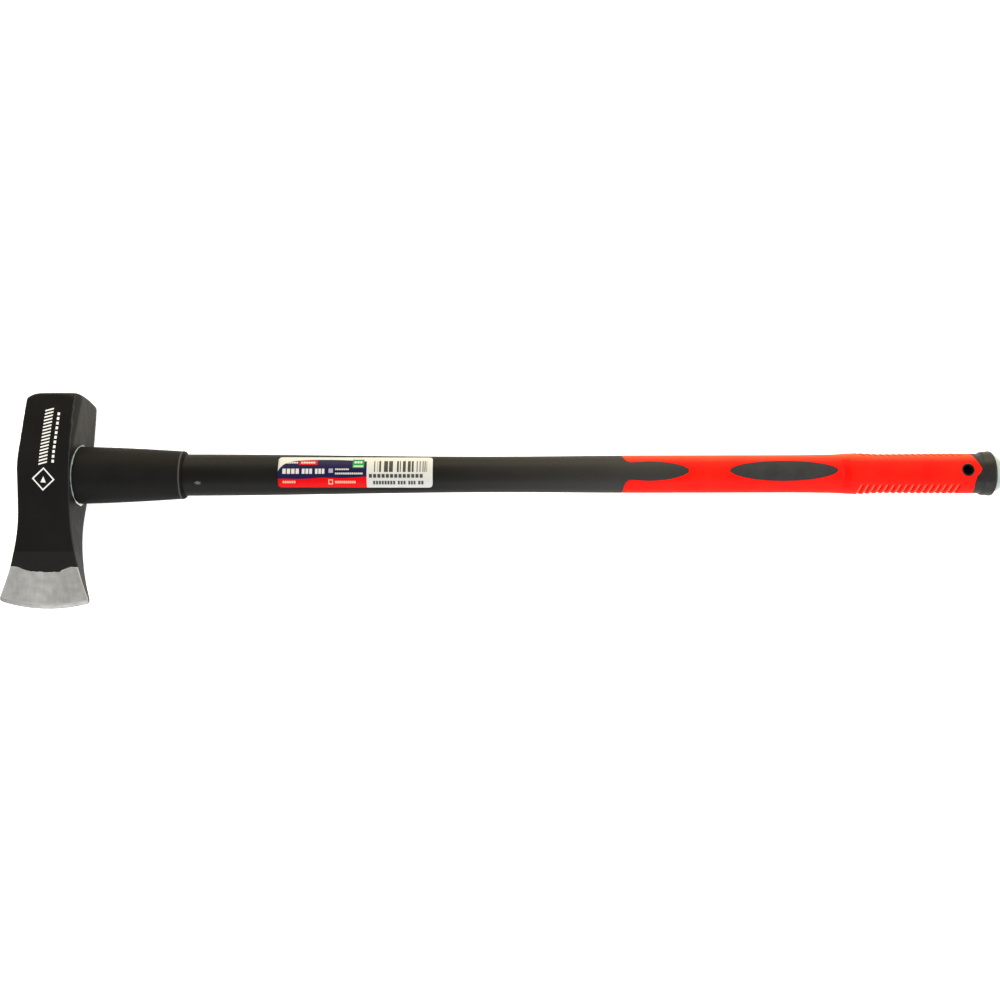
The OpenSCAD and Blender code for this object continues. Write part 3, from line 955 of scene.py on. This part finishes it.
def grip_sleeve():
    """The red grip, with finer steps where the grooves are."""
    xs = stations((GRIP_X - 3, 292, 2), (292, GROOVE_X - 3, 0.9),
                  (GROOVE_X - 3, GROOVE_X + GROOVE_PITCH * GROOVE_COUNT, 0.45), (420, GRIP_END_X + 2, 1))
    rows = [handle_oval(x, grip_half(x)) for x in xs]
    bm = shell(rows, HANDLE_RATIO, in_sleeve, SLEEVE_ROLL, SLEEVE_WALL, grip_relief)
    paint = Paint("red_rubber", specular_ior_level=0.05)
    cloud = paint.noise(22, 3)
    colour = paint.mix(cloud, (0.82, 0.002, 0.001), (0.96, 0.014, 0.006))
    # Painted highlight: an orange tint on the poll side of the grip, standing in for the warm light from
    # that side.
    painted_warm_highlight = paint.y.above(13.5, 5.5) * (0.35 + paint.noise(7, 3, (0.25, 1, 1)) * 0.9)
    colour = paint.mix(painted_warm_highlight, colour, (0.98, 0.11, 0.03))
    # Painted shade: the grooves and the cross groove are a darker red.
    colour = paint.mix(paint.attribute("dip") * 0.95, colour, (0.34, 0.0, 0.001))
    # Painted highlight: the lip on the head side of each groove is a lighter red.
    colour = paint.mix(paint.attribute("lip") * 0.8, colour, (1.0, 0.11, 0.055))
    height = paint.noise(0.35, 2) * 0.04 + paint.noise(9, 2) * 0.15
    material = paint.finish(colour, 0.4 + cloud * 0.16, None, height)
    sleeve = piece("grip_sleeve", bm, material, "grip_red", "grip_sleeve")
    points = np.array([v.co for v in sleeve.data.vertices]) / MM - (0, AXIS.y, AXIS.z)
    dip, lip = edge_grooves(points)
    # dip carries the painted shade of the grooves and, in part, of the cross groove.
    store(sleeve, "dip", np.maximum(dip, CROSS_GROOVE_SHADE * cross_groove(points)))
    # lip carries the painted highlight on the head side of each groove.
    store(sleeve, "lip", lip)
    return sleeve


def grip_pad(side, node):
    """One oval inlay, a little proud of the sleeve. side is +1 for the front or -1 for the back."""
    xs = stations((PAD_X - PAD_LENGTH / 2 - 2, PAD_X + PAD_LENGTH / 2 + 2, 1.6))
    rows = [handle_oval(x, grip_half(x)) for x in xs]

    def depth(points):
        return np.where(points[:, 2] * side > 0, in_pad(points) - 0.12, -9.0)

    bm = shell(rows, HANDLE_RATIO, depth, 0.45, SLEEVE_WALL, raised(0.3))
    paint = Paint("stippled_rubber_" + node, specular_ior_level=0.06)
    stipple = paint.cells(0.9)
    cloud = paint.noise(14, 3)
    colour = paint.mix(cloud, (0.019, 0.0195, 0.021), (0.037, 0.0372, 0.0385))
    material = paint.finish(colour, 0.5 + cloud * 0.16, None, stipple * 0.16)
    return piece(node, bm, material, "pad_rubber", node)


def butt_cap():
    """Shoulders behind the grip's point, a rolled flange and the bush of the hang hole."""
    outline = [(x, grip_half(x)) for x in stations((GRIP_END_X - 8, FLANGE_X - 0.2, 1))]
    flange = [(0.25, 19.5), (0.8, 19.95), (3, 20.2), (6, 20.55), (8.6, 20.8)]
    outline += [(FLANGE_X + along, half) for along, half in flange]
    rim = [(1.9, 20.8), (1.2, 20.6), (0.7, 20.2), (0.2, 19.4), (0, 18.6), (0.2, 18.0), (1.6, 17.8)]
    outline += [(RIM_X - back, half) for back, half in rim]
    rows = [handle_oval(x, half) for x, half in outline]

    def depth(points):
        return np.where(points[:, 0] < GRIP_END_X + 1, in_cap(points), 9.0)

    bm = shell(rows, HANDLE_RATIO, depth, 0.4, 2.6)
    profile = [(BUSH_RADIUS, 12.5), (BUSH_RADIUS, 15.1), (BUSH_RADIUS - 0.15, 15.45),
               (BUSH_RADIUS - 0.5, 15.6), (HOLE_RADIUS + 0.4, 15.6), (HOLE_RADIUS + 0.1, 15.45),
               (HOLE_RADIUS, 15.1)]
    profile += [(r, -z) for r, z in reversed(profile)]
    angles = [2 * math.pi * i / 64 for i in range(64)]
    rings = [[(HOLE_X + r * math.cos(a), r * math.sin(a), z) for a in angles] for r, z in profile]
    bush = loft(rings, closed=True)
    bush_mesh = bpy.data.meshes.new("bush")
    bush.to_mesh(bush_mesh)
    bush.free()
    bm.from_mesh(bush_mesh)
    bpy.data.meshes.remove(bush_mesh)
    paint = Paint("black_cap", specular_ior_level=0.16)
    cloud = paint.noise(9, 4)
    colour = paint.mix(cloud, (0.006, 0.0062, 0.0062), (0.02, 0.02, 0.0197))
    # Painted shade: the bore of the hang hole is near black.
    from_hole = (paint.x - HOLE_X).one("POWER", 2.0) + paint.y.one("POWER", 2.0)
    bore = 1 - from_hole.above((HOLE_RADIUS + 0.3) ** 2, 1.5)
    colour = paint.mix(bore, colour, (0.002, 0.0022, 0.0024))
    height = paint.noise(0.6, 3) * 0.08 + paint.noise(5, 2) * 0.2
    material = paint.finish(colour, 0.3 + cloud * 0.22 + bore * 0.6, None, height)
    return piece("butt_cap", bm, material, "cap_plastic", "butt_cap")


def butt_plug():
    """A shallow, square-shouldered dome on a stem."""
    fullness = 0.4
    dome = [(RIM_X + (BUTT_X - RIM_X) * math.sin(a), PLUG_HALF * math.cos(a) ** fullness)
            for a in np.radians(range(0, 90, 5))]
    stem = [(RIM_X - 9, 9.6), (RIM_X - 9, 10), (RIM_X - 1, 10), (RIM_X - 1, PLUG_HALF - 0.4),
            (RIM_X - 0.6, PLUG_HALF)]
    rows = [handle_oval(x, r) for x, r in stem + dome]
    paint = Paint("pale_plug", specular_ior_level=0.5)
    cloud = paint.noise(7, 3)
    colour = paint.mix(cloud, (0.22, 0.29, 0.265), (0.31, 0.38, 0.35))
    material = paint.finish(colour, 0.32 + cloud * 0.14, None, paint.noise(3, 2) * 0.12)
    return piece("butt_plug", loft(rows, capped=True), material, "plug_plastic", "butt_plug")


# ---------------------------------------------------------------------------
# Label
# ---------------------------------------------------------------------------


def label_print(paint):
    """Generic print: coloured fields, plain patches and rows of blocks where a label has its words
    and numbers, and a code of random bars."""
    u = paint.x - LABEL_X
    v = paint.y
    white, grey, navy = (0.47, 0.475, 0.46), (0.045, 0.045, 0.045), (0.01, 0.009, 0.042)
    red, peach = (0.56, 0.002, 0.003), (0.58, 0.35, 0.23)
    green, pale_green = (0.012, 0.19, 0.05), (0.36, 0.5, 0.32)
    left_side = 1 - u.above(10.3, 0.1)
    from_left = u + LABEL_LENGTH / 2
    arch = 11.2 - (u + 27.8).one("POWER", 2.0) * 0.00117 - (from_left * -0.2).one("EXPONENT") * 9.5
    field = (arch - v).above(0, 0.12) * left_side
    wave = (u * 0.16).one("SINE") * 0.35
    stripe = (from_left * 0.0235 - 7.4 + wave - v).above(0, 0.12) * left_side
    colour = paint.mix(field, white, navy)
    colour = paint.mix(stripe, colour, red)
    patches = (
        ((-43.0, 8.2), (16.5, 4.4), red), ((2.7, 7.2), (10.6, 8.6), green),
        ((2.7, 4.6), (8.8, 1.6), pale_green), ((-22.4, -9.6), (4.2, 4.2), peach),
        ((-22.4, -9.6), (2.6, 2.6), red), ((-22.3, 0.3), (4.0, 4.0), (0.26, 0.27, 0.34)))
    for centre, size, tint in patches:
        colour = paint.mix(paint.box(u, v, centre, size), colour, tint)
    rows = (
        (-64.5, 8.2, 6, 2.1, 1.7, white), (-49.5, 8.2, 6, 2.2, 1.7, white),
        (-1.0, 8.6, 3, 2.6, 2.2, white), (-66.2, -0.2, 4, 4.0, 4.8, white),
        (-48.6, -0.2, 3, 3.4, 4.8, white), (-36.6, -0.2, 3, 3.1, 4.8, white),
        (-18.3, 1.6, 8, 1.6, 1.5, white), (-18.3, -2.3, 15, 1.7, 1.6, white),
        (-66.0, -9.8, 6, 2.0, 1.9, peach), (-18.3, -9.8, 10, 1.9, 2.0, peach),
        (12.4, -4.4, 13, 3.85, 3.4, grey), (16.2, -10.2, 8, 2.6, 3.0, grey),
        (38.6, -10.2, 3, 2.6, 3.0, grey), (48.2, -10.2, 3, 2.4, 3.0, grey),
        (57.2, -10.2, 2, 2.8, 3.0, grey))
    for left, middle, count, pitch, height, tint in rows:
        colour = paint.mix(paint.blocks(u, v, left, middle, count, pitch, height), colour, tint)
    cell = (u * (1 / 0.9)).one("FLOOR")
    code = paint.chance(cell).above(0.36, 0.01) * paint.box(u, v, (41.0, 4.5), (48.6, 10.8))
    return paint.mix(code, colour, grey)


def product_label():
    """A thin film that follows the jacket, with rounded corners."""
    corner = 3.2
    half_u = LABEL_LENGTH / 2 - corner
    half_v = LABEL_HEIGHT / 2 - corner

    def depth(points):
        u = np.abs(points[:, 0] - LABEL_X) - half_u
        v = np.abs(points[:, 1]) - half_v
        outside = np.hypot(np.clip(u, 0, None), np.clip(v, 0, None)) + np.minimum(np.maximum(u, v), 0)
        return np.where(points[:, 2] > 0, corner - outside, -9.0)

    xs = stations((LABEL_X - LABEL_LENGTH / 2 - 2, LABEL_X + LABEL_LENGTH / 2 + 2, 2))
    rows = [handle_oval(x, jacket_half(x)) for x in xs]
    bm = shell(rows, HANDLE_RATIO, depth, 0.12, 0.02, raised(0.26))
    paint = Paint("printed_film", specular_ior_level=0.06)
    wrinkles = paint.noise(9, 3)
    material = paint.finish(label_print(paint), 0.3 + wrinkles * 0.15, None, wrinkles * 0.12)
    return piece("product_label", bm, material, "label_film", "product_label")


# ---------------------------------------------------------------------------
# Studio
# ---------------------------------------------------------------------------


def floor():
    """A light table: its glow takes the shadows away."""
    bm = bmesh.new()
    bmesh.ops.create_grid(bm, x_segments=8, y_segments=8, size=6)
    mesh = bpy.data.meshes.new("floor")
    bm.to_mesh(mesh)
    bm.free()
    material = bpy.data.materials.new("pale_floor")
    material.use_nodes = True
    shader = next(n for n in material.node_tree.nodes if n.type == "BSDF_PRINCIPLED")
    shader.inputs["Base Color"].default_value = (0.9, 0.9, 0.9, 1)
    shader.inputs["Roughness"].default_value = 0.9
    shader.inputs["Specular IOR Level"].default_value = 0.1
    shader.inputs["Emission Color"].default_value = (1, 1, 1, 1)
    shader.inputs["Emission Strength"].default_value = 0.62
    mesh.materials.append(material)
    obj = bpy.data.objects.new("floor", mesh)
    obj.location.z = -0.0005
    bpy.context.scene.collection.objects.link(obj)


def softbox(name, place, aim, size, power, colour=(1, 1, 1)):
    lamp = bpy.data.lights.new(name, "AREA")
    lamp.color = colour
    lamp.shape = "RECTANGLE"
    lamp.size, lamp.size_y = size
    lamp.energy = power
    obj = bpy.data.objects.new(name, lamp)
    obj.location = place
    obj.rotation_mode = "QUATERNION"
    obj.rotation_quaternion = (Vector(aim) - Vector(place)).to_track_quat("-Z", "Y")
    bpy.context.scene.collection.objects.link(obj)


def studio():
    """A white dome that is darker overhead, with a soft light on three sides."""
    world = bpy.data.worlds.new("studio")
    bpy.context.scene.world = world
    world.use_nodes = True
    nodes, links = world.node_tree.nodes, world.node_tree.links
    background = next(n for n in nodes if n.type == "BACKGROUND")
    direction = nodes.new("ShaderNodeTexCoord")
    split = nodes.new("ShaderNodeSeparateXYZ")
    links.new(direction.outputs["Generated"], split.inputs[0])
    dome = nodes.new("ShaderNodeMapRange")
    dome.interpolation_type = "SMOOTHSTEP"
    dome.inputs["From Min"].default_value = 0.55
    dome.inputs["From Max"].default_value = 0.95
    dome.inputs["To Min"].default_value = 1.15
    dome.inputs["To Max"].default_value = 0.2
    links.new(split.outputs["Z"], dome.inputs["Value"])
    links.new(dome.outputs["Result"], background.inputs["Strength"])
    background.inputs["Color"].default_value = (1, 1, 1, 1)
    middle = (0, AXIS.y * MM, 0)
    softbox("light_poll_side", (0, 1.5, 0.9), middle, (2.2, 0.9), 44, (1, 0.84, 0.52))
    softbox("light_bit_side", (0, -1.5, 0.8), middle, (2.2, 0.8), 22)
    softbox("light_butt_side", (1.7, 0, 0.9), middle, (0.9, 1.6), 18, (1, 0.96, 0.88))
    bpy.context.scene.view_settings.view_transform = "Standard"


def camera():
    """High over the bit side of the maul, a little more than a metre up."""
    lens = bpy.data.cameras.new("camera")
    lens.lens = 42.44
    obj = bpy.data.objects.new("camera", lens)
    bpy.context.scene.collection.objects.link(obj)
    axis = AXIS * MM
    middle_x, back, up = -0.0047, 0.241, 1.062
    aim_back = 0.0241
    place = Vector((middle_x, axis.y - back, axis.z + up))
    aim = Vector((middle_x, axis.y - aim_back, axis.z))
    obj.rotation_mode = "QUATERNION"
    roll = Matrix.Rotation(math.radians(-0.12), 3, "Z").to_quaternion()
    obj.rotation_quaternion = (aim - place).to_track_quat("-Z", "Y") @ roll
    obj.location = place
    bpy.context.scene.camera = obj


camera()
studio()
floor()
maul_head()
eye_epoxy()
fibreglass_core()
adhesive_bead()
overstrike_collar()
handle_jacket()
product_label()
grip_sleeve()
grip_pad(1, "grip_pad_front")
grip_pad(-1, "grip_pad_back")
butt_cap()
butt_plug()
